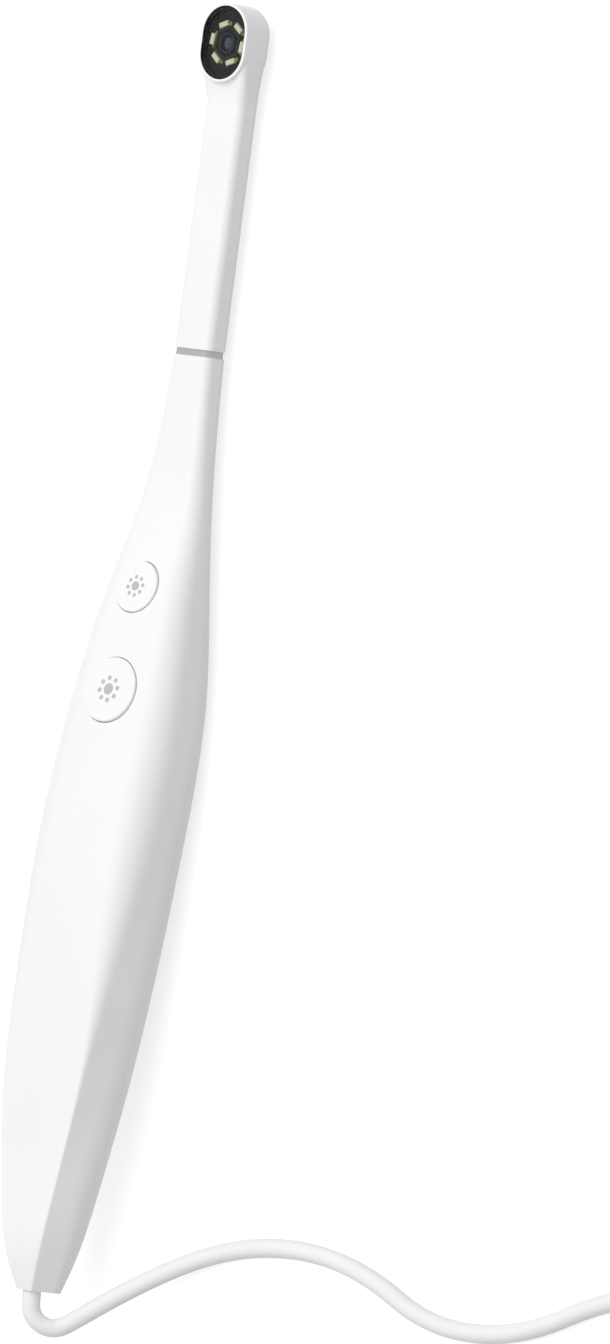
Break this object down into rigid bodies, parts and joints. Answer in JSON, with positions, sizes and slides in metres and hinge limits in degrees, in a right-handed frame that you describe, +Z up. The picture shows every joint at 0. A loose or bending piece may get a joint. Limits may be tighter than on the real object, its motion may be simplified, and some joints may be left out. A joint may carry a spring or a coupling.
{
  "type": "intraoral camera",
  "caption": "Slim wand-shaped dental camera with a lit window at its tip, two sprung front buttons and a fixed thin cord that ends in a flat rectangular plug.",
  "frame": {"origin": "middle of the wand's own box at the height of the table it lies on", "axes": "+Z up, out of the buttons and the camera window; +Y from the tail to the camera head; +X to the side where the cord lies"},
  "size_m": [0.177, 0.2118, 0.0197],
  "materials": {
    "white_housing": "satin",
    "white_probe": "satin",
    "white_button": "satin",
    "trim_metal": "satin",
    "screw_steel": "plain",
    "window_glass": "gloss",
    "lens_glass": "gloss",
    "sensor_glass": "gloss",
    "led_phosphor": "matte",
    "black_board": "satin",
    "green_board": "satin",
    "black_plastic": "matte",
    "ribbon_polyimide": "satin",
    "connector_nylon": "matte",
    "wire_insulation": "matte",
    "white_cord": "matte",
    "plug_metal": "polished",
    "contact_gold": "polished"
  },
  "bodies": {
    "handpiece": {"front_shell": "white_housing", "rear_cover": "white_housing", "cover_screw": "screw_steel", "trim_ring": "trim_metal", "probe_tube": "white_probe", "window_cover": "window_glass", "led_board": "black_board", "led_1": "led_phosphor", "led_2": "led_phosphor", "led_3": "led_phosphor", "led_4": "led_phosphor", "led_5": "led_phosphor", "led_6": "led_phosphor", "lens_shroud": "black_plastic", "lens_barrel": "black_plastic", "front_lens": "lens_glass", "lens_holder": "black_plastic", "image_sensor": "sensor_glass", "sensor_board": "black_board", "flex_cable": "ribbon_polyimide", "main_board": "green_board", "board_screws": "screw_steel", "image_processor": "black_plastic", "memory_chip": "black_plastic", "crystal": "trim_metal", "flex_socket": "black_plastic", "cable_socket": "connector_nylon", "cable_plug": "connector_nylon", "wires": "wire_insulation", "upper_switch_body": "black_plastic", "lower_switch_body": "black_plastic", "strain_relief": "white_cord", "cable_clamp": "white_housing", "clamp_screws": "screw_steel", "cord": "white_cord", "cord_coil": "white_cord", "cord_end": "white_cord", "plug_housing": "white_cord", "plug_shell": "plug_metal", "plug_tongue": "connector_nylon", "plug_contacts": "contact_gold"},
    "upper_button_group": {"upper_button": "white_button", "upper_switch_plunger": "connector_nylon"},
    "lower_button_group": {"lower_button": "white_button", "lower_switch_plunger": "connector_nylon"}
  },
  "joints": [
    {"name": "upper_button_press", "type": "slide", "parent": "handpiece", "child": "upper_button_group", "axis": [0, -0.1878, -0.9822], "range_m": [0, 0.0005], "stiffness_N_per_m": 400, "springref_m": -0.0005},
    {"name": "lower_button_press", "type": "slide", "parent": "handpiece", "child": "lower_button_group", "axis": [0, -0.1878, -0.9822], "range_m": [0, 0.0005], "stiffness_N_per_m": 400, "springref_m": -0.0005}
  ]
}
